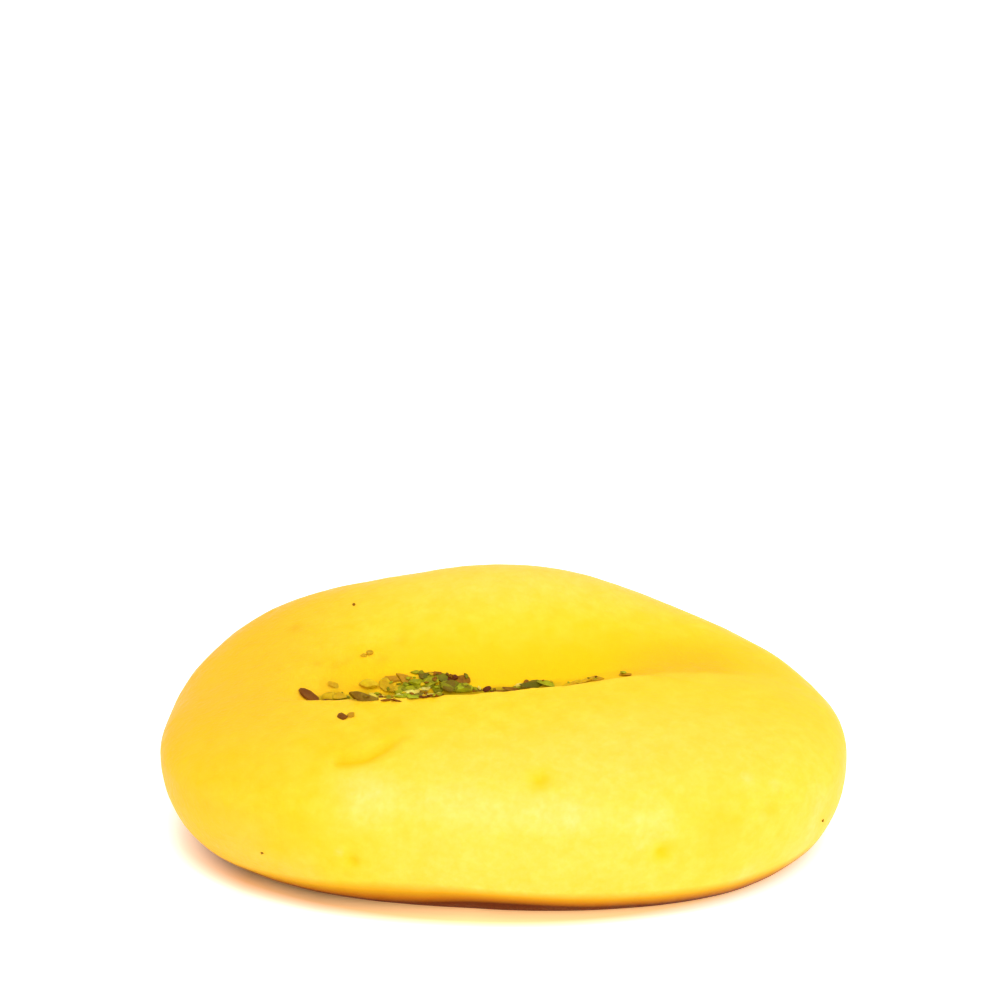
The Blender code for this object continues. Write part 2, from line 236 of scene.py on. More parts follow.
# The pale marks are painted light: sheen on the front face and light from above on the back crest, faded
# at the foot.
PALE_FRONT_LEFT_X = (-14.0 * MM, -2.0 * MM)
PALE_FRONT_THINS_X = (9.0 * MM, 17.0 * MM)
PALE_FRONT_THINS_BY = 0.3
PALE_FRONT_BEHIND = (-2.0 * MM, -12.0 * MM)
PALE_FRONT_STRENGTH = 0.36
PALE_BACK_LEFT_X = (-17.0 * MM, 1.0 * MM)
PALE_BACK_BEHIND = (6.0 * MM, 12.0 * MM)
PALE_BACK_STRENGTH = 0.38
PALE_FOOT_Z = (0.5 * MM, 2.5 * MM)
# The warm tint is painted shade at the left end and where the dish runs out.
WARM_LEFT_X = (-8.0 * MM, -21.0 * MM)
WARM_LEFT_BEHIND = (-9.0 * MM, -1.0 * MM)
WARM_LEFT_STRENGTHS = (0.50, 0.72)
WARM_DISH_LEFT_X = (6.0 * MM, 13.0 * MM)
WARM_DISH_RIGHT_X = (20.0 * MM, 15.0 * MM)
WARM_DISH_LIP_BEHIND = (-0.6 * MM, 0.4 * MM)
WARM_DISH_BEHIND = (5.5 * MM, 1.5 * MM)
WARM_DISH_STRENGTH = 0.7
FOLD_TINT_WIDTH = 1.5 * WRINKLE_WIDTH
PIT_TINT_RADII = 1.4

# The painted contact shade at the foot: its height and darkness at the left, at the right and in the
# middle
FOOT_SIDES_X = (-10.0 * MM, 10.0 * MM)
FOOT_HEIGHT_LEFT = 1.9 * MM
FOOT_HEIGHT_RIGHT = 2.8 * MM
FOOT_HEIGHT = 3.5 * MM
FOOT_MIDDLE_X = -5.0 * MM
FOOT_REACH = 11.0 * MM
FOOT_DARK_LEFT = 0.74
FOOT_DARK_RIGHT = 0.84
FOOT_DARK = 1.08
FOOT_DARK_X = 1.5 * MM
FOOT_DARK_REACH = 4.5 * MM

# Chopped pistachio, in the same groups as on the solid. Lengths are in mm. Aim is the turn from the
# crease's line and swing its spread, in degrees. Tone is from dark (0) to light (1), for the looks alone.
ChipGroup = namedtuple("ChipGroup", "kind count start end near far short long slim stack aim swing tone")
CHIP_GROUPS = (
    ChipGroup("skin", 1, -15.0, -14.9, 0.8, 0.9, 2.0, 2.1, 0.44, 0.2, -18, 3, 0.0),
    ChipGroup("pale", 2, -14.2, -12.3, 0.9, 1.4, 1.2, 1.5, 0.55, 0.0, 0, 25, 0.5),
    ChipGroup("pale", 1, -13.4, -13.0, 1.9, 2.1, 1.0, 1.1, 0.36, 0.4, -20, 8, 0.2),
    ChipGroup("skin", 2, -14.0, -11.9, 0.5, 0.7, 1.2, 1.4, 0.28, 0.9, 0, 10, 0.9),
    ChipGroup("skin", 1, -10.7, -10.5, -0.9, -0.8, 2.2, 2.3, 0.62, 0.4, -6, 4, 0.8),
    ChipGroup("pale", 7, -10.5, -7.9, 0.4, 2.1, 1.0, 1.6, 0.66, 0.5, 0, 35, 0.5),
    ChipGroup("pale", 2, -8.8, -7.7, 2.2, 2.6, 1.2, 1.4, 0.62, 0.6, 0, 35, 0.0),
    ChipGroup("green", 2, -7.3, -6.2, 2.6, 2.9, 0.6, 0.7, 0.75, 0.3, 0, 35, 0.5),
    ChipGroup("green", 8, -7.8, -5.3, 1.2, 2.5, 1.1, 1.6, 0.62, 0.8, 0, 35, 0.5),
    ChipGroup("pale", 5, -7.9, -5.2, 0.5, 1.5, 0.9, 1.3, 0.66, 1.3, 0, 35, 1.0),
    ChipGroup("green", 4, -7.7, -6.2, -1.4, -0.4, 0.9, 1.2, 0.62, 0.6, 0, 35, 0.9),
    ChipGroup("skin", 2, -8.8, -7.7, -1.3, -1.1, 0.9, 1.1, 0.42, 0.3, 0, 12, 0.4),
    ChipGroup("skin", 2, -6.0, -4.8, -1.0, -0.8, 0.9, 1.1, 0.36, 0.3, 8, 12, 0.1),
    ChipGroup("green", 4, -6.0, -4.1, 1.7, 2.4, 1.1, 1.4, 0.55, 1.0, 0, 25, 0.1),
    ChipGroup("skin", 1, -4.1, -3.9, 2.0, 2.1, 0.8, 0.9, 0.75, 1.4, 0, 15, 0.0),
    ChipGroup("skin", 1, -3.3, -3.1, 1.9, 2.1, 1.1, 1.2, 0.62, 1.1, -10, 10, 0.8),
    ChipGroup("green", 4, -5.1, -3.6, 0.7, 1.6, 1.1, 1.4, 0.62, 1.4, 0, 30, 0.2),
    ChipGroup("green", 2, -3.7, -2.8, 0.8, 1.3, 1.6, 1.8, 0.56, 1.2, 0, 8, 1.0),
    ChipGroup("skin", 1, -2.1, -1.9, 1.1, 1.2, 0.9, 1.0, 0.32, 0.6, -15, 5, 0.9),
    ChipGroup("skin", 1, -1.2, -1.0, 1.0, 1.1, 0.8, 0.9, 0.62, 0.7, -10, 8, 0.0),
    ChipGroup("skin", 2, -0.7, 1.1, 0.5, 0.7, 1.2, 1.4, 0.28, 0.8, 0, 6, 0.8),
    # This small pale piece stands for a white glint: its palest tone is a painted highlight.
    ChipGroup("pale", 1, 1.2, 1.3, 1.0, 1.1, 0.5, 0.6, 0.80, 0.8, 0, 30, 1.0),
    ChipGroup("green", 1, 2.0, 2.2, 0.9, 1.0, 1.9, 2.0, 0.36, 0.9, 10, 4, 0.1),
    ChipGroup("green", 1, 3.4, 3.5, 0.8, 0.9, 1.7, 1.8, 0.42, 0.9, -12, 4, 0.6),
    ChipGroup("pale", 3, 4.8, 8.0, 0.3, 0.6, 1.3, 1.6, 0.42, 0.9, 0, 8, 0.2),
    ChipGroup("pale", 1, 9.3, 9.5, 0.3, 0.4, 0.8, 0.9, 0.75, 0.4, 0, 30, 0.1),
    ChipGroup("skin", 1, -11.9, -11.8, -3.3, -3.2, 0.8, 0.9, 0.90, 0.0, 0, 30, 0.3),
    ChipGroup("pale", 1, -11.2, -11.1, -3.1, -3.0, 0.6, 0.7, 1.00, 0.0, 0, 30, 0.0),
    ChipGroup("pale", 2, -11.5, -10.7, 4.5, 5.0, 0.5, 0.6, 0.80, 0.0, 0, 30, 0.2),
)
CHIP_SEED = 15
CHIP_THICKNESS = 0.45
CHIP_SINK = 0.30
CHIP_TILT = math.radians(16)
SPACING_SPREAD = (0.2, 0.8)
WIDTH_SPREAD = (0.85, 1.15)
THICKNESS_SPREAD = (0.8, 1.2)
STACK_SPREAD = (0.0, 0.6)
SLOPE_STEP = 0.8 * MM

# How a piece of nut is cut, as shares of its size, and how much its tone and its skin vary
PIECE_SEED = 22
PIECE_RADIUS = 0.60
PIECE_CUTS = 7
CUT_DISTANCES = (0.24, 0.46)
BEVELLED_FROM = 0.6
BEVEL_WIDTH = 0.035
SHARP_FROM = math.radians(35)
SKINNED_SHARE = 0.5
TONE_SPREAD = 0.22
DROP_HEIGHT = 2.0 * BACK_TOP

# Crumbs of the same nuts: (count, from x, to x, from behind, to behind) of each patch, and their sizes
CRUMB_PATCHES = (
    (50, -9.0 * MM, -2.8 * MM, 0.2 * MM, 2.4 * MM),
    (16, -10.5 * MM, -4.5 * MM, -1.1 * MM, 0.2 * MM),
    (10, -14.6 * MM, -9.0 * MM, 0.2 * MM, 1.4 * MM),
    (12, -2.6 * MM, 4.6 * MM, 0.5 * MM, 1.2 * MM),
    (7, 4.6 * MM, 9.8 * MM, 0.2 * MM, 0.6 * MM),
)
CRUMB_SIZES = (0.22 * MM, 0.55 * MM)
CRUMB_WIDTHS = (0.5, 0.9)
CRUMB_THICKNESSES = (0.35, 0.6)
CRUMB_LIFT = 0.2
CRUMB_TILT = 0.5
CRUMB_KINDS = ("green", "green", "skin", "skin", "pale")
CRUMB_SEED = 11

# Single dark specks on the curd: x and section angle
SPECKS = ((25.5 * MM, 203.0), (-17.2 * MM, 193.5), (-12.9 * MM, 70.2))
SPECK_SIZE = 0.26 * MM
SPECK_TONE = 0.6

# Noise that the materials share: (detail, roughness), and the usual range that a mask is cut from
MOTTLE_NOISE = (4.0, 0.55)
GRAIN_NOISE = (3.0, 0.6)
MASK_RANGE = (0.35, 0.65)

# The curd's colours, and its tints by mark and share. A tint of the foot's painted contact shade starts
# and is full at two values of its mark. Noise scales are per metre.
CURD = (0.78, 0.455, 0.010)
CURD_LIGHT = (0.80, 0.495, 0.026)
CURD_TINTS = (
    # painted shade of the dish behind the crease
    ("valley_shade", 1.00, (0.76, 0.415, 0.001)),
    # painted shade of the left end and the dish's end
    ("warm_shade", 0.90, (0.70, 0.345, 0.012)),
    ("deep", 0.80, (0.72, 0.385, 0.002)),
    # painted shade in the wrinkle's hollow
    ("fold_shade", 0.90, (0.76, 0.400, 0.001)),
    ("pit", 1.00, (0.76, 0.450, 0.001)),
    # olive dust of the nuts, with painted shade along the crease
    ("stain_and_shade", 0.90, (0.34, 0.22, 0.001)),
)
# Paler colour for the painted light and sheen
CURD_PAINTED_LIGHT = (0.82, 0.540, 0.155)
CURD_PORE = (0.75, 0.420, 0.006)
# Painted contact shade, from orange to dark brown towards the base
FOOT_SHADE_TINTS = (
    (0.05, 0.28, (0.54, 0.270, 0.004)),
    (0.26, 0.42, (0.35, 0.115, 0.002)),
    (0.42, 0.56, (0.08, 0.012, 0.001)),
)
CURD_MOTTLE_SCALE = 650.0
CURD_GRAIN_SCALE = 1500.0
CURD_PAINTED_LIGHT_SHARES = (0.80, 1.0)
CURD_PORE_SHARE = 0.30
CURD_ROUGHNESS = (0.40, 0.54)
CURD_SPECULAR = 0.06
CURD_GLOW = 0.35
CURD_GLOW_COLOURS = (1.0, 0.6, 0.08)
CURD_GLOW_DEPTH = 1.5 * MM
CURD_GRAIN_HEIGHT = 0.06 * MM
CURD_GRAIN_STRENGTH = 0.7
CURD_GRAIN_SHARES = (0.4, 1.0)
CURD_GRAIN_FULL_AT = 0.8

# The nuts' skin, and the tones of each kind from dark to light
NUT_SKIN = (0.13, 0.08, 0.001)
KERNEL_TONES = ((0.09, 0.08, 0.001), (0.28, 0.25, 0.001), (0.30, 0.33, 0.005))
PALE_TONES = ((0.38, 0.18, 0.001), (0.54, 0.36, 0.002), (0.66, 0.60, 0.12))
SKIN_TONES = ((0.09, 0.018, 0.001), (0.27, 0.10, 0.001), (0.17, 0.11, 0.001))
NutLook = namedtuple("NutLook", "material tones roughness glow")
NUT_LOOKS = {
    "green": NutLook("green_kernel", KERNEL_TONES, 0.34, 0.15),
    "pale": NutLook("pale_kernel", PALE_TONES, 0.32, 0.40),
    "skin": NutLook("nut_skin", SKIN_TONES, 0.42, 0.05),
}
NUT_MOTTLE_SCALE = 1500.0
NUT_MOTTLE_RANGE = (0.42, 0.66)
NUT_MOTTLE_SHARE = 0.55
NUT_GRAIN_SCALE = 5000.0
NUT_SKIN_SHARES = (1.0, 0.6)
NUT_ROUGHNESS_SPREAD = 0.2
NUT_SPECULAR = 0.09
NUT_GLOW_COLOURS = (1.0, 1.0, 0.2)
NUT_GLOW_DEPTH = 0.4 * MM
NUT_GRAIN_HEIGHT = 0.03 * MM
NUT_GRAIN_STRENGTH = 0.8

# The light table. Its painted reflected light and painted shadow near the sweet lie by distance from the
# middle of an oval, squeezed to a circle, and fade at the far left. Its glow near the sweet grows from
# left to right, which paints the shadow darker at the left and lighter at the right.
FLOOR_SIZE = 3.0
FLOOR_ROUGHNESS = 0.8
FLOOR_MOTTLE_SCALE = 90.0
FLOOR_WHITE = (0.95, 0.95, 0.95)
FLOOR_PALE = (0.97, 0.97, 0.97)
# Painted reflected light of the sweet on the table
FLOOR_PAINTED_BOUNCE = (0.97, 0.86, 0.76)
FLOOR_BOUNCE_FROM = 31.0 * MM
FLOOR_BOUNCE_TO = 26.8 * MM
# Painted orange shadow close to the sweet
FLOOR_PAINTED_SHADOW = (0.97, 0.56, 0.24)
FLOOR_SHADOW_FROM = 27.6 * MM
FLOOR_SHADOW_TO = 25.4 * MM
FLOOR_OVAL = 1.52
FLOOR_OVAL_X = -2.0 * MM
FLOOR_GLOW = 0.30
# The glow near the sweet, low at the left and high at the right, paints its shadow darker at the left
FLOOR_SHADOW_GLOW_LEFT = 0.10
FLOOR_SHADOW_GLOW_RIGHT = 0.66
FLOOR_SHADOW_GLOW_FROM_X = -13.0 * MM
FLOOR_SHADOW_GLOW_TO_X = -1.0 * MM
FLOOR_FADE_FROM_X = -27.0 * MM
FLOOR_FADE_TO_X = -19.0 * MM

# Soft studio light: azimuth 0 is the front, turning to the right
SoftBox = namedtuple("SoftBox", "name azimuth elevation distance size power")
SOFT_BOXES = (
    SoftBox("front softbox", 24.0, 34.0, 2.0, 1.3, 25.5),
    SoftBox("top softbox", 0.0, 80.0, 2.0, 1.0, 17.0),
)
STUDIO_LIGHT = 0.87

# The camera of the photograph, which is 1000 pixels square. The horizon lies above its middle.
PHOTO_SIZE = 1000
FOCAL_PIXELS = 3974.7
HORIZON_PIXELS = 1726.0
SENSOR_WIDTH = 36.0
CAMERA_CLIP = (0.01, 20.0)
CAMERA_AZIMUTH = math.radians(6.0)
CAMERA_PITCH = math.atan(HORIZON_PIXELS / FOCAL_PIXELS)

# A point inside the sweet, the pixel that it falls on, and how many pixels long the sweet is there
ANCHOR = Vector((0.0, -0.8 * MM, 8.0 * MM))
ANCHOR_PIXEL = (504.5, 734.0)
SWEET_PIXELS = 681.0


def smooth_step(t):
    t = min(max(t, 0.0), 1.0)
    return t * t * (3.0 - 2.0 * t)


def ramp(value, start, full):
    """0 at the start and 1 where it is full, which may lie on either side."""
    return smooth_step((value - start) / (full - start))


def mix(a, b, share):
    return a + (b - a) * share


def bell(distance, reach):
    return math.exp(-(distance / reach) ** 2)


def oval(share, fullness):
    """Height of a superellipse of half-axes 1 at a share of its half-length."""
    return max(0.0, 1.0 - abs(share) ** fullness) ** (1.0 / fullness)


def crease_y(x):
    """The crease's line: it bends back towards the right, and less so near its end."""
    eased = max(x - CREASE_EASES_FROM, 0.0)
    return CREASE_Y + CREASE_SLOPE * x + CREASE_BEND * x * x - CREASE_EASE * eased * eased


def wobble(x):
    """Small wander of the crease's edge, as soft curd closes unevenly."""
    place = Vector((x / CREASE_WOBBLE_LENGTH, 0.0, 0.0))
    fine = FINE_WOBBLE_SHARE * noise.noise(place * FINE_WOBBLE_RATE)
    return CREASE_WOBBLE * (noise.noise(place) + fine)


def lip_width(x):
    """The lip is sharp along most of the crease and softens where the crease runs out."""
    return mix(LIP_WIDTH, LIP_WIDTH_RIGHT, ramp(x, LIP_WIDENS_FROM, CREASE_END))


def behind_crease(x, y):
    """Distance behind the crease floor, square to it; negative in front."""
    return (y - crease_y(x)) * CREASE_SQUARE


def crease_cut(x, y, edge):
    """How far the crease cuts down: a steep lip in front and a slow rise behind."""
    along = ramp(x, CREASE_START, CREASE_FULL_FROM) * (1.0 - ramp(x, CREASE_FULL_TO, CREASE_END))
    behind = behind_crease(x, y)
    reach = CREASE_REACH if behind > 0.0 else lip_width(x) + edge
    return along * CREASE_DEPTH * (1.0 - smooth_step(abs(behind) / reach))


def lobe_top(x, y):
    """Full height of the sweet there: the front lobe's, rising through the dish to the back lobe's."""
    rightness = 0.5 + 0.5 * x / HALF_LENGTH
    reach = mix(DISH_REACH_LEFT, DISH_REACH_RIGHT, rightness)
    swell = CREST_SWELL * bell(x - CREST_SWELL_X, CREST_SWELL_REACH)
    return mix(FRONT_TOP, BACK_TOP + swell, smooth_step(behind_crease(x, y) / reach))


def half_width(x, angle):
    """Half-width of the oval at x, on the side that the ring angle looks to."""
    backness = 0.5 + 0.5 * min(max(SIDE_BLEND * math.cos(angle), -1.0), 1.0)
    if x < 0.0:
        fullness = mix(FRONT_LEFT_FULLNESS, BACK_LEFT_FULLNESS, backness)
    else:
        fullness = mix(FRONT_RIGHT_FULLNESS, BACK_RIGHT_FULLNESS, backness)
    side = BACK_WIDTH if math.cos(angle) >= 0.0 else FRONT_WIDTH
    return side * oval(x / HALF_LENGTH, fullness)


def waist_height(x):
    return mix(WAIST_LEFT, WAIST_RIGHT, 0.5 + 0.5 * x / HALF_LENGTH)


def end_share(x):
    return oval(x / HALF_LENGTH, LEFT_END_FULLNESS if x < 0.0 else RIGHT_END_FULLNESS)


def section_point(x, angle, edge=0.0):
    """Point of the section at x: angle 0 is the back, 90 degrees the top, 180 the front, 270 below."""
    across = math.cos(angle)
    rise = math.sin(angle)
    bluntness = 2.0 / (TOP_FULLNESS if rise >= 0.0 else UNDER_FULLNESS)
    y = SPINE_Y + half_width(x, angle) * math.copysign(abs(across) ** bluntness, across)
    share = end_share(x) * abs(rise) ** bluntness
    waist = waist_height(x)
    if rise >= 0.0:
        z = waist + (lobe_top(x, y) - waist) * share
        z -= crease_cut(x, y, edge) * smooth_step(rise / CREASE_FADE_RISE)
        return Vector((x, y, z))
    z = waist - UNDER_DEPTH * share
    if z < -BASE_FILLET:
        z = 0.0
    elif z < BASE_FILLET:
        z = (z + BASE_FILLET) ** 2 / (4.0 * BASE_FILLET)
    return Vector((x, y, z))


def top_angle(x, y):
    """Ring angle of the upper surface that lies over (x, y)."""
    low = 0.0
    high = math.pi
    for _ in range(ANGLE_HALVINGS):
        middle = 0.5 * (low + high)
        if section_point(x, middle).y > y:
            low = middle
        else:
            high = middle
    return low


def top_point(x, y):
    return section_point(x, top_angle(x, y))


def net_y(x, y):
    """The same y over most of the length; towards the ends it goes back to the spine."""
    return mix(y, SPINE_Y, ramp(abs(x), NET_STRAIGHT_TO, HALF_LENGTH))


def crowded(u):
    """0 to 1 as 0 to 1, with smaller steps near 1."""
    return u + STEP_CROWDING * math.sin(math.pi * u) / math.pi


def flat_angle(x):
    """How far below the waist the flat underside starts, as an angle of the section."""
    reach = (waist_height(x) + BASE_FILLET) / max(UNDER_DEPTH * end_share(x), WELD_DISTANCE)
    if reach >= 1.0:
        return MOST_FLAT_ANGLE
    return min(math.asin(reach ** (UNDER_FULLNESS / 2.0)), MOST_FLAT_ANGLE)


def ring_angles(x):
    """Section angles of a ring's vertices: crowded at the crease, and one row at the flat's edge."""
    floor = top_angle(x, net_y(x, crease_y(x)))
    lip = top_angle(x, net_y(x, crease_y(x) - lip_width(x) / CREASE_SQUARE))
    lip = max(lip, floor + LEAST_LIP_ANGLE)
    flat = flat_angle(x)
    angles = [floor * crowded(step / BACK_STEPS) for step in range(BACK_STEPS)]
    angles += [mix(floor, lip, step / LIP_STEPS) for step in range(LIP_STEPS)]
    front = [(math.pi - lip) * crowded(1.0 - step / FRONT_STEPS) for step in range(FRONT_STEPS)]
    angles += [math.pi - angle for angle in front]
    angles += [math.pi + flat * step / SIDE_STEPS for step in range(SIDE_STEPS)]
    base = [mix(flat, math.pi - flat, step / (2 * BASE_STEPS)) for step in range(2 * BASE_STEPS)]
    angles += [math.pi + angle for angle in base]
    angles += [2.0 * math.pi - flat * (1.0 - step / SIDE_STEPS) for step in range(SIDE_STEPS)]
    return angles


def polyline_distance(place, points):
    """Distance from a place to a line through points, and how far along it, from 0 to 1."""
    best = (1.0, 0.0)
    for number, (start, end) in enumerate(zip(points, points[1:])):
        start = Vector(start)
        run = Vector(end) - start
        share = min(max((place - start).dot(run) / run.length_squared, 0.0), 1.0)
        distance = (place - start - run * share).length
        if distance < best[0]:
            best = (distance, (number + share) / (len(points) - 1))
    return best


def soft_dents(place):
    """Height of the dents that palms and fingers leave."""
    height = 0.0
    for length, amount in DENT_LAYERS:
        height += amount * noise.noise(place / length + Vector((length, 0.0, 0.0)) / MM)
    return height


def wrinkle_strength(along):
    return ramp(along, 0.0, WRINKLE_START) * (1.0 - ramp(along, WRINKLE_FADES_FROM, 1.0))


def wrinkle_depth(place):
    """Depth of the soft fold on the front lobe."""
    distance, along = polyline_distance(place.xy, WRINKLE)
    if distance > WRINKLE_REACH:
        return 0.0
    return WRINKLE_DEPTH * wrinkle_strength(along) * bell(distance, WRINKLE_WIDTH)


def all_pits():
    """The pits that show clearly, and many faint ones, as centre, radius and depth."""
    pits = [(section_point(pit.x, math.radians(pit.turn)), pit.radius, pit.depth) for pit in PITS]
    draw = random.Random(PIT_SEED)
    for _ in range(LOOSE_PITS):
        x = draw.uniform(*LOOSE_PIT_PLACES) * HALF_LENGTH
        angle = draw.uniform(*LOOSE_PIT_TURNS) * math.pi
        centre = section_point(x, angle)
        pits.append((centre, draw.uniform(*LOOSE_PIT_RADII), draw.uniform(*LOOSE_PIT_DEPTHS)))
    return pits


def build_sweet():
    """A sphere with its poles at the two ends, moved to the sweet's form and then given its relief."""
    net = bmesh.new()
    bmesh.ops.create_uvsphere(net, u_segments=RING, v_segments=STATIONS, radius=1.0)
    rings = {}
    for vertex in net.verts:
        station = math.asin(min(max(vertex.co.z, -1.0), 1.0))
        x = HALF_LENGTH * math.sin(station)
        if abs(x) > HALF_LENGTH - WELD_DISTANCE:
            vertex.co = section_point(x, 0.0)
            continue
        number = round(station * STATIONS / math.pi)
        if number not in rings:
            rings[number] = ring_angles(x)
        turn = math.atan2(vertex.co.y, vertex.co.x) % (2.0 * math.pi)
        meridian = round(turn * RING / (2.0 * math.pi)) % RING
        vertex.co = section_point(x, rings[number][meridian], wobble(x))
    flat = [face for face in net.faces if all(vertex.co.z < WELD_DISTANCE for vertex in face.verts)]
    bmesh.ops.dissolve_faces(net, faces=flat, use_verts=True)
    bmesh.ops.recalc_face_normals(net, faces=net.faces)
    net.normal_update()
    pits = all_pits()
    moves = []
    for vertex in net.verts:
        calm = smooth_step(vertex.co.z / BASE_CALM_HEIGHT)
        height = soft_dents(vertex.co)
        if vertex.normal.z > 0.0:
            height -= wrinkle_depth(vertex.co)
        for centre, radius, depth in pits:
            distance = (vertex.co - centre).length
            if distance < PIT_REACH_RADII * radius:
                height -= depth * bell(distance, radius)
        moves.append(vertex.normal * height * calm)
    for vertex, move in zip(net.verts, moves):
        vertex.co += move
    mesh = bpy.data.meshes.new("sandesh_body")
    net.to_mesh(mesh)
    net.free()
    mark_form(mesh)
    mesh.shade_smooth()
    sweet = bpy.data.objects.new("sandesh_body", mesh)
    bpy.context.scene.collection.objects.link(sweet)
    return sweet


def valley_shade_mark(x, behind):
    """The dish behind the crease, painted deep yellow as its shade."""
    along = ramp(x, *VALLEY_LEFT_X) * ramp(x, *VALLEY_RIGHT_X)
    return along * ramp(behind, *VALLEY_LIP_BEHIND) * ramp(behind, *VALLEY_DISH_BEHIND)


def stain_and_shade_mark(x, behind):
    """Olive dust of the nuts, with painted shade: a line in the crease, painted as the crease's shade and
    dust, a film of dust round the heap and a few flecks.
    """
    # The line in the crease: painted shade along the lip, and dust
    line = ramp(x, *STAIN_SHADE_LEFT_X) * ramp(x, *STAIN_SHADE_RIGHT_X)
    line *= 1.0 - STAIN_SHADE_THINS_BY * ramp(x, *STAIN_SHADE_THINS_X)
    line *= ramp(behind, *STAIN_SHADE_LIP_BEHIND) * ramp(behind, *STAIN_SHADE_NUTS_BEHIND)
    patchy = FILM_COVER + FILM_PATCHINESS * noise.noise(Vector((x, behind, 0.0)) / FILM_PATCH)
    film = FILM_STRENGTH * min(max(patchy, 0.0), 1.0) * bell(behind - FILM_BEHIND, FILM_REACH)
    film *= ramp(x, *STAIN_SHADE_LEFT_X) * ramp(x, *FILM_RIGHT_X)
    flecks = max(strength * bell(math.hypot(x - spot, behind - back), radius)
                 for spot, back, radius, strength in FLECKS)
    return max(line, film, flecks)


def fold_shade_mark(place):
    """The wrinkle, whose hollow is painted a darker, deeper yellow as shade."""
    distance, along = polyline_distance(place.xy, WRINKLE)
    return wrinkle_strength(along) * bell(distance, FOLD_TINT_WIDTH)


def pit_mark(place, pits):
    """The clear pits, whose hollows are a deeper yellow."""
    return max(bell((place - centre).length, PIT_TINT_RADII * radius) for centre, radius, depth in pits)


def placed(line):
    return [section_point(x, math.radians(turn)) for x, turn in line]


def placed_patches(patches):
    return [(section_point(x, math.radians(turn)), radius, strength)
            for x, turn, radius, strength in patches]


def patch_mark(place, patches):
    """How much of a set of patches lies at a place, with ragged edges."""
    ragged = PATCH_EVENNESS + PATCH_RAGGEDNESS * noise.noise(place / PATCH_BREAKS)
    strongest = max(strength * bell((place - centre).length, radius)
                    for centre, radius, strength in patches)
    return min(strongest * ragged, 1.0)


def highlight_streak_mark(place, line):
    """The painted highlight streak, stronger and weaker along its length."""
    ragged = PATCH_EVENNESS + HIGHLIGHT_STREAK_RAGGEDNESS * noise.noise(place / HIGHLIGHT_STREAK_BREAKS)
    return HIGHLIGHT_STREAK_STRENGTH * ragged * bell(polyline_distance(place, line)[0], HIGHLIGHT_STREAK_WIDTH)


def painted_light_mark(x, z, behind, highlight_spots):
    """Painted light on the outer faces: most in its highlight patches, then sheen on the front face and
    light from above on the back crest.
    """
    front = PALE_FRONT_STRENGTH * ramp(behind, *PALE_FRONT_BEHIND) * ramp(x, *PALE_FRONT_LEFT_X)
    front *= 1.0 - PALE_FRONT_THINS_BY * ramp(x, *PALE_FRONT_THINS_X)
    back = PALE_BACK_STRENGTH * ramp(behind, *PALE_BACK_BEHIND) * ramp(x, *PALE_BACK_LEFT_X)
    return max(front, back, highlight_spots) * ramp(z, *PALE_FOOT_Z)


def warm_shade_mark(x, behind):
    """Painted shade: the left end, and the dish where the crease runs out, are more orange."""
    left = ramp(x, *WARM_LEFT_X) * mix(*WARM_LEFT_STRENGTHS, ramp(behind, *WARM_LEFT_BEHIND))
    dish = WARM_DISH_STRENGTH * ramp(x, *WARM_DISH_LEFT_X) * ramp(x, *WARM_DISH_RIGHT_X)
    dish *= ramp(behind, *WARM_DISH_LIP_BEHIND) * ramp(behind, *WARM_DISH_BEHIND)
    return max(left, dish)


def foot_shade_mark(x, z):
    """Painted contact shade at the foot that the sweet stands on: most at its base, 0 at the shade's upper
    edge.
    """
    side = ramp(x, *FOOT_SIDES_X)
    end_height = mix(FOOT_HEIGHT_LEFT, FOOT_HEIGHT_RIGHT, side)
    height = mix(end_height, FOOT_HEIGHT, bell(x - FOOT_MIDDLE_X, FOOT_REACH))
    end_darkness = mix(FOOT_DARK_LEFT, FOOT_DARK_RIGHT, side)
    darkness = mix(end_darkness, FOOT_DARK, bell(x - FOOT_DARK_X, FOOT_DARK_REACH))
    return darkness * (1.0 - min(z / height, 1.0))


def mark_form(mesh):
    """Writes to the mesh, point by point, how much of each tint the curd has there."""
    names = ("valley_shade", "stain_and_shade", "fold_shade", "pit", "deep", "pale", "warm_shade", "foot_shade")
    marks = {name: [] for name in names}
    hollows = [pit for pit in all_pits()[:len(PITS)] if pit[2] > TINTED_PIT_DEPTH]
    highlight_spots = placed_patches(HIGHLIGHT_PATCHES)
    deep = placed_patches(DEEP_PATCHES)
    streak = placed(HIGHLIGHT_STREAK)
    for vertex in mesh.vertices:
        x, y, z = vertex.co
        upper = 1.0 if vertex.normal.z > 0.0 or z > WAIST_RIGHT else 0.0
        behind = behind_crease(x, y) + wobble(x)
        # painted shade in the dish
        marks["valley_shade"].append(upper * valley_shade_mark(x, behind))
        # nut dust, and painted shade along the crease
        marks["stain_and_shade"].append(upper * stain_and_shade_mark(x, behind))
        # painted shade in the wrinkle
        marks["fold_shade"].append(upper * fold_shade_mark(vertex.co))
        marks["pit"].append(pit_mark(vertex.co, hollows))
        marks["deep"].append(patch_mark(vertex.co, deep))
        # Painted highlight patches and streak, joined with the painted light of the front and the back
        # crest
        patches = max(patch_mark(vertex.co, highlight_spots), highlight_streak_mark(vertex.co, streak))
        marks["pale"].append(painted_light_mark(x, z, behind, patches))
        # painted shade at the left end and the dish's end
        marks["warm_shade"].append(warm_shade_mark(x, behind))
        # painted contact shade at the foot
        marks["foot_shade"].append(foot_shade_mark(x, z))
    for name, values in marks.items():
        mesh.attributes.new(name, "FLOAT", "POINT").data.foreach_set("value", values)


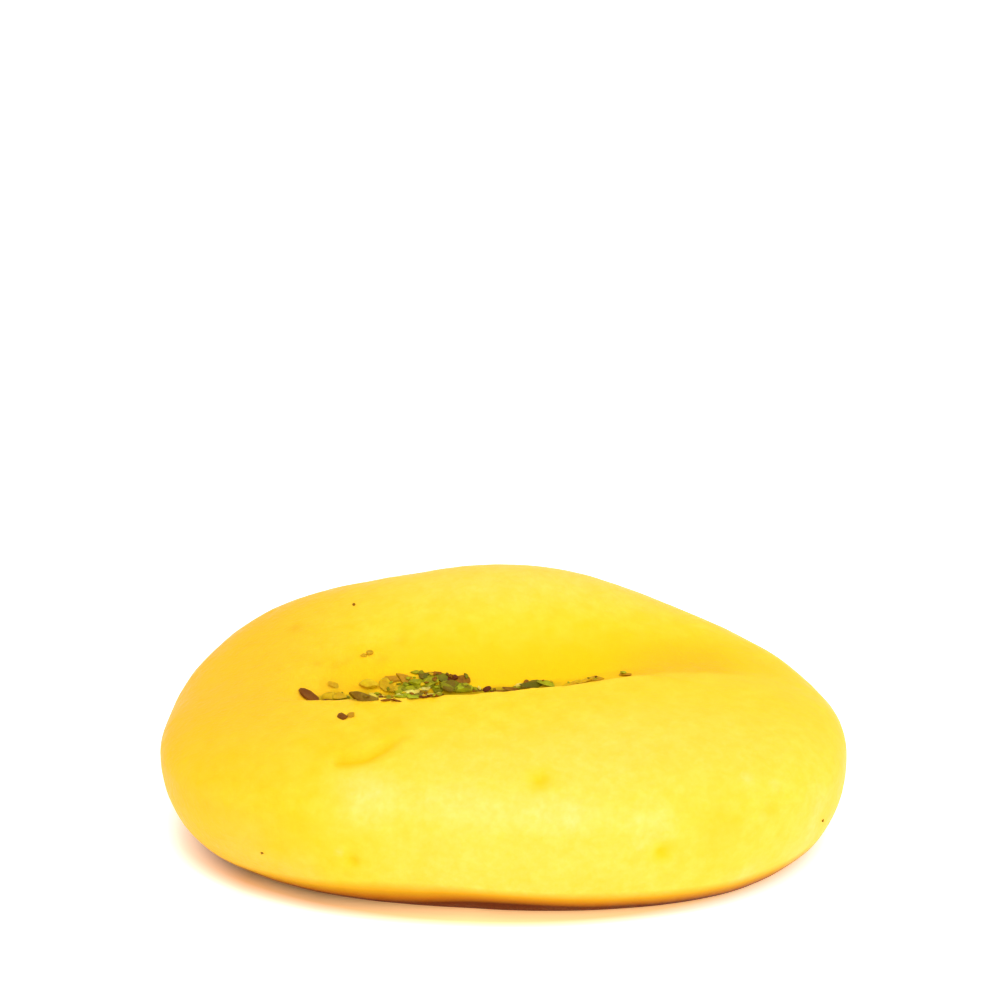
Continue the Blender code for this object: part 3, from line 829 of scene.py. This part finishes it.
def surface_frame(x, y, turn, tilt, roll):
    """Axes of a thing lying on the top at (x, y): its length along the crease, turned, tilted, rolled."""
    run = 2.0 * SLOPE_STEP
    slope_x = (top_point(x + SLOPE_STEP, y).z - top_point(x - SLOPE_STEP, y).z) / run
    slope_y = (top_point(x, y + SLOPE_STEP).z - top_point(x, y - SLOPE_STEP).z) / run
    up = Vector((-slope_x, -slope_y, 1.0)).normalized()
    along = Vector((run, crease_y(x + SLOPE_STEP) - crease_y(x - SLOPE_STEP), 0.0))
    along = (along - along.dot(up) * up).normalized()
    axes = Matrix((along, up.cross(along), up)).transposed().to_4x4()
    axes = axes @ Matrix.Rotation(turn, 4, "Z")
    return axes @ Matrix.Rotation(tilt, 4, "Y") @ Matrix.Rotation(roll, 4, "X")


def chip_places():
    """Kind, size and place of every chip, drawn group by group as on the solid."""
    draw = random.Random(CHIP_SEED)
    places = []
    for group in CHIP_GROUPS:
        for number in range(group.count):
            share = (number + draw.uniform(*SPACING_SPREAD)) / group.count
            x = mix(group.start, group.end, share) * MM
            behind = draw.uniform(group.near, group.far) * MM
            y = crease_y(x) + behind / CREASE_SQUARE
            length = draw.uniform(group.short, group.long) * MM
            width = length * group.slim * draw.uniform(*WIDTH_SPREAD)
            thickness = width * CHIP_THICKNESS * draw.uniform(*THICKNESS_SPREAD)
            turn = math.radians(group.aim + draw.uniform(-group.swing, group.swing))
            tilt = draw.uniform(-CHIP_TILT, CHIP_TILT)
            roll = draw.uniform(-CHIP_TILT, CHIP_TILT)
            lift = thickness * (0.5 - CHIP_SINK + group.stack * draw.uniform(*STACK_SPREAD))
            axes = surface_frame(x, y, turn, tilt, roll)
            spot = top_point(x, y) + axes.to_3x3() @ Vector((0.0, 0.0, lift))
            size = (length, width, thickness)
            places.append((group.kind, group.tone, Matrix.Translation(spot) @ axes, size))
    return places


def cut_piece(draw):
    """A rounded bit of nut, about 1 long each way, with flat faces where the knife went through."""
    piece = bmesh.new()
    bmesh.ops.create_icosphere(piece, subdivisions=2, radius=PIECE_RADIUS)
    cut = piece.faces.layers.float.new("cut")
    for _ in range(PIECE_CUTS):
        away = Vector((draw.gauss(0, 1), draw.gauss(0, 1), draw.gauss(0, 1))).normalized()
        middle = away * draw.uniform(*CUT_DISTANCES)
        everything = piece.verts[:] + piece.edges[:] + piece.faces[:]
        sliced = bmesh.ops.bisect_plane(piece, geom=everything, plane_co=middle, plane_no=away,
                                        clear_outer=True)
        rim = [part for part in sliced["geom_cut"] if isinstance(part, bmesh.types.BMEdge)]
        for face in bmesh.ops.holes_fill(piece, edges=rim)["faces"]:
            face[cut] = 1.0
    sharp = [edge for edge in piece.edges
             if len(edge.link_faces) == 2 and edge.calc_face_angle() > BEVELLED_FROM]
    bmesh.ops.bevel(piece, geom=sharp, offset=BEVEL_WIDTH, segments=2, affect="EDGES", clamp_overlap=True)
    bmesh.ops.triangulate(piece, faces=piece.faces[:])
    return piece


def add_piece(target, draw, place, size, tone, skinned):
    """Adds one piece to the target mesh, with its tone and which of its faces keep the nut's skin."""
    piece = cut_piece(draw)
    cut = piece.faces.layers.float["cut"]
    tone_layer = piece.faces.layers.float.new("tone")
    skin_layer = piece.faces.layers.float.new("skin")
    for face in piece.faces:
        face[tone_layer] = tone
        face[skin_layer] = 1.0 if skinned and face[cut] < 0.5 else 0.0
    for vertex in piece.verts:
        vertex.co = place @ Vector(vertex.co[axis] * size[axis] for axis in range(3))
    mesh = bpy.data.meshes.new("piece")
    piece.to_mesh(mesh)
    piece.free()
    target.from_mesh(mesh)
    bpy.data.meshes.remove(mesh)


def highest_hit(trees, x, y):
    """Where something dropped at (x, y) comes to lie."""
    start = Vector((x, y, DROP_HEIGHT))
    hits = [tree.ray_cast(start, Vector((0.0, 0.0, -1.0)))[0] for tree in trees]
    return max((hit for hit in hits if hit), key=lambda hit: hit.z)


def new_net():
    """An empty mesh with the marks that every piece of nut carries."""
    net = bmesh.new()
    for name in ("cut", "tone", "skin"):
        net.faces.layers.float.new(name)
    return net


def lay_chips(nets, sweet_tree):
    """The pieces that stand for the solid's chips, each set down on the fine surface."""
    draw = random.Random(PIECE_SEED)
    for kind, group_tone, place, size in chip_places():
        spot = place.translation
        lift = highest_hit([sweet_tree], spot.x, spot.y).z - top_point(spot.x, spot.y).z
        tone = min(max(group_tone + draw.uniform(-TONE_SPREAD, TONE_SPREAD), 0.0), 1.0)
        skinned = kind == "green" and draw.random() < SKINNED_SHARE
        add_piece(nets[kind], draw, Matrix.Translation((0.0, 0.0, lift)) @ place, size, tone, skinned)


def lay_crumbs(nets, sweet_tree):
    """Crumbs on and round the heap, and single dark specks on the sweet."""
    trees = [sweet_tree] + [BVHTree.FromBMesh(net) for net in nets.values()]
    draw = random.Random(CRUMB_SEED)
    for count, start, end, near, far in CRUMB_PATCHES:
        for _ in range(count):
            x = draw.uniform(start, end)
            y = crease_y(x) + draw.uniform(near, far) / CREASE_SQUARE
            length = draw.uniform(*CRUMB_SIZES)
            width = length * draw.uniform(*CRUMB_WIDTHS)
            thickness = length * draw.uniform(*CRUMB_THICKNESSES)
            size = (length, width, thickness)
            spot = highest_hit(trees, x, y) + Vector((0.0, 0.0, CRUMB_LIFT * thickness))
            turn = Matrix.Rotation(draw.uniform(0.0, math.pi), 4, "Z")
            tilt = Matrix.Rotation(draw.uniform(-CRUMB_TILT, CRUMB_TILT), 4, "X")
            kind = draw.choice(CRUMB_KINDS)
            add_piece(nets[kind], draw, Matrix.Translation(spot) @ turn @ tilt, size, draw.random(), False)
    for x, angle in SPECKS:
        spot = sweet_tree.find_nearest(section_point(x, math.radians(angle)))[0]
        add_piece(nets["skin"], draw, Matrix.Translation(spot), (SPECK_SIZE,) * 3, SPECK_TONE, False)


def build_pistachio(sweet_tree):
    """One mesh for each kind of piece."""
    nets = {kind: new_net() for kind in NUT_LOOKS}
    lay_chips(nets, sweet_tree)
    lay_crumbs(nets, sweet_tree)
    pieces = {}
    for kind, net in nets.items():
        mesh = bpy.data.meshes.new(f"pistachio_{kind}")
        net.to_mesh(mesh)
        net.free()
        mesh.shade_smooth()
        mesh.set_sharp_from_angle(angle=SHARP_FROM)
        pieces[kind] = bpy.data.objects.new(f"pistachio_{kind}", mesh)
        bpy.context.scene.collection.objects.link(pieces[kind])
    return pieces


def add_node(tree, kind, **values):
    node = tree.nodes.new(kind)
    for name, value in values.items():
        setattr(node, name, value)
    return node


def feed(tree, socket, value):
    """Links an output to the socket, or sets the socket to a number or a colour."""
    if isinstance(value, bpy.types.NodeSocket):
        tree.links.new(value, socket)
    elif isinstance(value, tuple):
        socket.default_value = (*value, 1.0)
    else:
        socket.default_value = value


def multiply(tree, first, second):
    node = add_node(tree, "ShaderNodeMath", operation="MULTIPLY")
    feed(tree, node.inputs[0], first)
    feed(tree, node.inputs[1], second)
    return node.outputs["Value"]


def spread(tree, value, low, high, to_low=0.0, to_high=1.0):
    node = add_node(tree, "ShaderNodeMapRange")
    feed(tree, node.inputs["Value"], value)
    for name, number in (("From Min", low), ("From Max", high), ("To Min", to_low), ("To Max", to_high)):
        feed(tree, node.inputs[name], number)
    return node.outputs["Result"]


def blend_colour(tree, share, first, second):
    node = add_node(tree, "ShaderNodeMix", data_type="RGBA")
    first_socket, second_socket = [socket for socket in node.inputs if socket.type == "RGBA"]
    feed(tree, node.inputs["Factor"], share)
    feed(tree, first_socket, first)
    feed(tree, second_socket, second)
    return next(socket for socket in node.outputs if socket.type == "RGBA")


def attribute(tree, name):
    return add_node(tree, "ShaderNodeAttribute", attribute_name=name).outputs["Fac"]


def noise_group(name, detail, rough):
    """A node group: noise in the object's own space, with inputs Scale, Low and High and output Mask."""
    tree = bpy.data.node_groups.new(name, "ShaderNodeTree")
    for socket in ("Scale", "Low", "High"):
        tree.interface.new_socket(socket, in_out="INPUT", socket_type="NodeSocketFloat")
    tree.interface.new_socket("Mask", in_out="OUTPUT", socket_type="NodeSocketFloat")
    given = tree.nodes.new("NodeGroupInput")
    result = tree.nodes.new("NodeGroupOutput")
    texture = tree.nodes.new("ShaderNodeTexNoise")
    feed(tree, texture.inputs["Vector"], add_node(tree, "ShaderNodeTexCoord").outputs["Object"])
    feed(tree, texture.inputs["Scale"], given.outputs["Scale"])
    feed(tree, texture.inputs["Detail"], detail)
    feed(tree, texture.inputs["Roughness"], rough)
    mask = spread(tree, texture.outputs["Fac"], given.outputs["Low"], given.outputs["High"])
    feed(tree, result.inputs["Mask"], mask)
    return tree


def add_noise(tree, group, scale, mask_range=MASK_RANGE):
    node = add_node(tree, "ShaderNodeGroup", node_tree=group)
    feed(tree, node.inputs["Scale"], scale)
    feed(tree, node.inputs["Low"], mask_range[0])
    feed(tree, node.inputs["High"], mask_range[1])
    return node.outputs["Mask"]


def add_bump(tree, shader, height, distance, strength):
    bump = add_node(tree, "ShaderNodeBump")
    feed(tree, bump.inputs["Distance"], distance)
    feed(tree, bump.inputs["Strength"], strength)
    feed(tree, bump.inputs["Height"], height)
    feed(tree, shader.inputs["Normal"], bump.outputs["Normal"])


def let_light_in(tree, shader, weight, colours, depth):
    """Light that enters the food and comes out tinted, which softens its shades."""
    feed(tree, shader.inputs["Subsurface Weight"], weight)
    shader.inputs["Subsurface Radius"].default_value = colours
    feed(tree, shader.inputs["Subsurface Scale"], depth)


def new_material(name):
    material = bpy.data.materials.new(name)
    material.use_nodes = True
    return material, material.node_tree, material.node_tree.nodes["Principled BSDF"]


def curd_material(mottle, grain):
    """Moist saffron curd, mottled. Painted shade deepens the dish, painted light pales the outside,
    painted contact shade browns the foot.
    """
    material, tree, shader = new_material("saffron_curd")
    patches = add_noise(tree, mottle, CURD_MOTTLE_SCALE)
    fine = add_noise(tree, grain, CURD_GRAIN_SCALE)
    colour = blend_colour(tree, patches, CURD, CURD_LIGHT)
    # Painted light: the pale mark turns the curd paler where the sheen and the light from above are
    # painted
    painted_light = multiply(tree, attribute(tree, "pale"), spread(tree, patches, 0.0, 1.0, *CURD_PAINTED_LIGHT_SHARES))
    colour = blend_colour(tree, painted_light, colour, CURD_PAINTED_LIGHT)
    colour = blend_colour(tree, multiply(tree, fine, CURD_PORE_SHARE), colour, CURD_PORE)
    for mark, share, tint in CURD_TINTS:
        colour = blend_colour(tree, multiply(tree, attribute(tree, mark), share), colour, tint)
    # Painted contact shade at the foot
    foot_shade = attribute(tree, "foot_shade")
    for start, full, tint in FOOT_SHADE_TINTS:
        colour = blend_colour(tree, spread(tree, foot_shade, start, full), colour, tint)
    feed(tree, shader.inputs["Base Color"], colour)
    feed(tree, shader.inputs["Roughness"], spread(tree, patches, 0.0, 1.0, *CURD_ROUGHNESS))
    feed(tree, shader.inputs["Specular IOR Level"], CURD_SPECULAR)
    let_light_in(tree, shader, CURD_GLOW, CURD_GLOW_COLOURS, CURD_GLOW_DEPTH)
    # The grain bump grows with the mark of the painted warm shade
    grainy = spread(tree, attribute(tree, "warm_shade"), 0.0, CURD_GRAIN_FULL_AT, *CURD_GRAIN_SHARES)
    add_bump(tree, shader, multiply(tree, fine, grainy), CURD_GRAIN_HEIGHT, CURD_GRAIN_STRENGTH)
    return material


def nut_material(look, mottle, grain):
    """Cut nut: each piece has its own tone from dark to light, and some keep their skin outside."""
    material, tree, shader = new_material(look.material)
    tones = add_node(tree, "ShaderNodeValToRGB")
    tones.color_ramp.elements.new(0.5)
    for element, place, tone in zip(tones.color_ramp.elements, (0.0, 0.5, 1.0), look.tones):
        element.position = place
        element.color = (*tone, 1.0)
    feed(tree, tones.inputs["Fac"], attribute(tree, "tone"))
    patches = add_noise(tree, mottle, NUT_MOTTLE_SCALE, NUT_MOTTLE_RANGE)
    fine = add_noise(tree, grain, NUT_GRAIN_SCALE)
    darker = multiply(tree, patches, NUT_MOTTLE_SHARE)
    colour = blend_colour(tree, darker, tones.outputs["Color"], look.tones[0])
    skin = multiply(tree, attribute(tree, "skin"), spread(tree, patches, 0.0, 1.0, *NUT_SKIN_SHARES))
    colour = blend_colour(tree, skin, colour, NUT_SKIN)
    roughest = look.roughness + NUT_ROUGHNESS_SPREAD
    feed(tree, shader.inputs["Base Color"], colour)
    feed(tree, shader.inputs["Roughness"], spread(tree, fine, 0.0, 1.0, look.roughness, roughest))
    feed(tree, shader.inputs["Specular IOR Level"], NUT_SPECULAR)
    let_light_in(tree, shader, look.glow, NUT_GLOW_COLOURS, NUT_GLOW_DEPTH)
    add_bump(tree, shader, fine, NUT_GRAIN_HEIGHT, NUT_GRAIN_STRENGTH)
    return material


def floor_material(mottle):
    """A white light table that glows. Near the sweet its colour and glow carry painted reflected light and
    a painted orange shadow, and its glow grows from left to right, painting the shadow darker at the left.
    """
    material, tree, shader = new_material("white_table")
    colour = blend_colour(tree, add_noise(tree, mottle, FLOOR_MOTTLE_SCALE), FLOOR_WHITE, FLOOR_PALE)
    squeeze = add_node(tree, "ShaderNodeVectorMath", operation="MULTIPLY_ADD")
    place = add_node(tree, "ShaderNodeTexCoord").outputs["Object"]
    feed(tree, squeeze.inputs[0], place)
    squeeze.inputs[1].default_value = (1.0, FLOOR_OVAL, 1.0)
    squeeze.inputs[2].default_value = (-FLOOR_OVAL_X, 0.0, 0.0)
    measure = add_node(tree, "ShaderNodeVectorMath", operation="LENGTH")
    feed(tree, measure.inputs[0], squeeze.outputs["Vector"])
    away = measure.outputs["Value"]
    split = add_node(tree, "ShaderNodeSeparateXYZ")
    feed(tree, split.inputs["Vector"], place)
    x = split.outputs["X"]
    left_fade = spread(tree, x, FLOOR_FADE_FROM_X, FLOOR_FADE_TO_X)
    # Painted reflected light near the sweet
    near = multiply(tree, left_fade, spread(tree, away, FLOOR_BOUNCE_FROM, FLOOR_BOUNCE_TO))
    colour = blend_colour(tree, near, colour, FLOOR_PAINTED_BOUNCE)
    # Painted orange shadow close to the sweet
    painted_shadow = multiply(tree, left_fade, spread(tree, away, FLOOR_SHADOW_FROM, FLOOR_SHADOW_TO))
    colour = blend_colour(tree, painted_shadow, colour, FLOOR_PAINTED_SHADOW)
    # Glow near the sweet grows from left to right, painting the shadow darker at the left
    glow = spread(tree, x, FLOOR_SHADOW_GLOW_FROM_X, FLOOR_SHADOW_GLOW_TO_X, FLOOR_SHADOW_GLOW_LEFT, FLOOR_SHADOW_GLOW_RIGHT)
    glow = spread(tree, near, 0.0, 1.0, FLOOR_GLOW, glow)
    feed(tree, shader.inputs["Base Color"], colour)
    # The glow takes the same colour, so near the sweet it carries the painted reflected light and shadow
    feed(tree, shader.inputs["Emission Color"], colour)
    feed(tree, shader.inputs["Emission Strength"], glow)
    feed(tree, shader.inputs["Roughness"], FLOOR_ROUGHNESS)
    return material


def build_floor(material):
    net = bmesh.new()
    bmesh.ops.create_grid(net, x_segments=1, y_segments=1, size=FLOOR_SIZE)
    mesh = bpy.data.meshes.new("floor")
    net.to_mesh(mesh)
    net.free()
    floor = bpy.data.objects.new("floor", mesh)
    bpy.context.scene.collection.objects.link(floor)
    floor.data.materials.append(material)


def photo_camera():
    forward = Vector((-math.sin(CAMERA_AZIMUTH), math.cos(CAMERA_AZIMUTH), 0.0))
    right = Vector((math.cos(CAMERA_AZIMUTH), math.sin(CAMERA_AZIMUTH), 0.0))
    look = forward * math.cos(CAMERA_PITCH) - Vector((0.0, 0.0, math.sin(CAMERA_PITCH)))
    up = right.cross(look)
    across = ANCHOR_PIXEL[0] - PHOTO_SIZE / 2
    down = ANCHOR_PIXEL[1] - PHOTO_SIZE / 2
    ray = (look * FOCAL_PIXELS + right * across - up * down).normalized()
    data = bpy.data.cameras.new("photo camera")
    data.sensor_width = SENSOR_WIDTH
    data.lens = SENSOR_WIDTH * FOCAL_PIXELS / PHOTO_SIZE
    data.clip_start, data.clip_end = CAMERA_CLIP
    camera = bpy.data.objects.new("photo camera", data)
    bpy.context.scene.collection.objects.link(camera)
    axes = Matrix((right, up, -look)).transposed().to_4x4()
    distance = FOCAL_PIXELS * 2.0 * HALF_LENGTH / SWEET_PIXELS
    camera.matrix_world = Matrix.Translation(ANCHOR - ray * distance) @ axes
    bpy.context.scene.camera = camera


def build_soft_box(box):
    """A square light that looks at the sweet."""
    data = bpy.data.lights.new(box.name, "AREA")
    data.shape = "SQUARE"
    data.size = box.size
    data.energy = box.power
    light = bpy.data.objects.new(box.name, data)
    bpy.context.scene.collection.objects.link(light)
    azimuth = math.radians(box.azimuth)
    elevation = math.radians(box.elevation)
    away = Vector((math.sin(azimuth) * math.cos(elevation), -math.cos(azimuth) * math.cos(elevation),
                   math.sin(elevation)))
    light.location = ANCHOR + away * box.distance
    light.rotation_euler = away.to_track_quat("Z", "Y").to_euler()


def build_lights():
    world = bpy.data.worlds.new("studio")
    world.use_nodes = True
    background = world.node_tree.nodes["Background"]
    feed(world.node_tree, background.inputs["Color"], (1.0, 1.0, 1.0))
    feed(world.node_tree, background.inputs["Strength"], STUDIO_LIGHT)
    bpy.context.scene.world = world
    for box in SOFT_BOXES:
        build_soft_box(box)
    bpy.context.scene.view_settings.view_transform = "Standard"


def main():
    mottle = noise_group("mottle", *MOTTLE_NOISE)
    grain = noise_group("grain", *GRAIN_NOISE)
    sweet = build_sweet()
    sweet.data.materials.append(curd_material(mottle, grain))
    tree = BVHTree.FromObject(sweet, bpy.context.evaluated_depsgraph_get())
    pieces = build_pistachio(tree)
    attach(sweet, "root")
    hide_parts(NODE)
    for kind, piece in pieces.items():
        piece.data.materials.append(nut_material(NUT_LOOKS[kind], mottle, grain))
        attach(piece, "root")
        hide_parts(NODE)
    build_floor(floor_material(mottle))
    build_lights()
    photo_camera()


main()
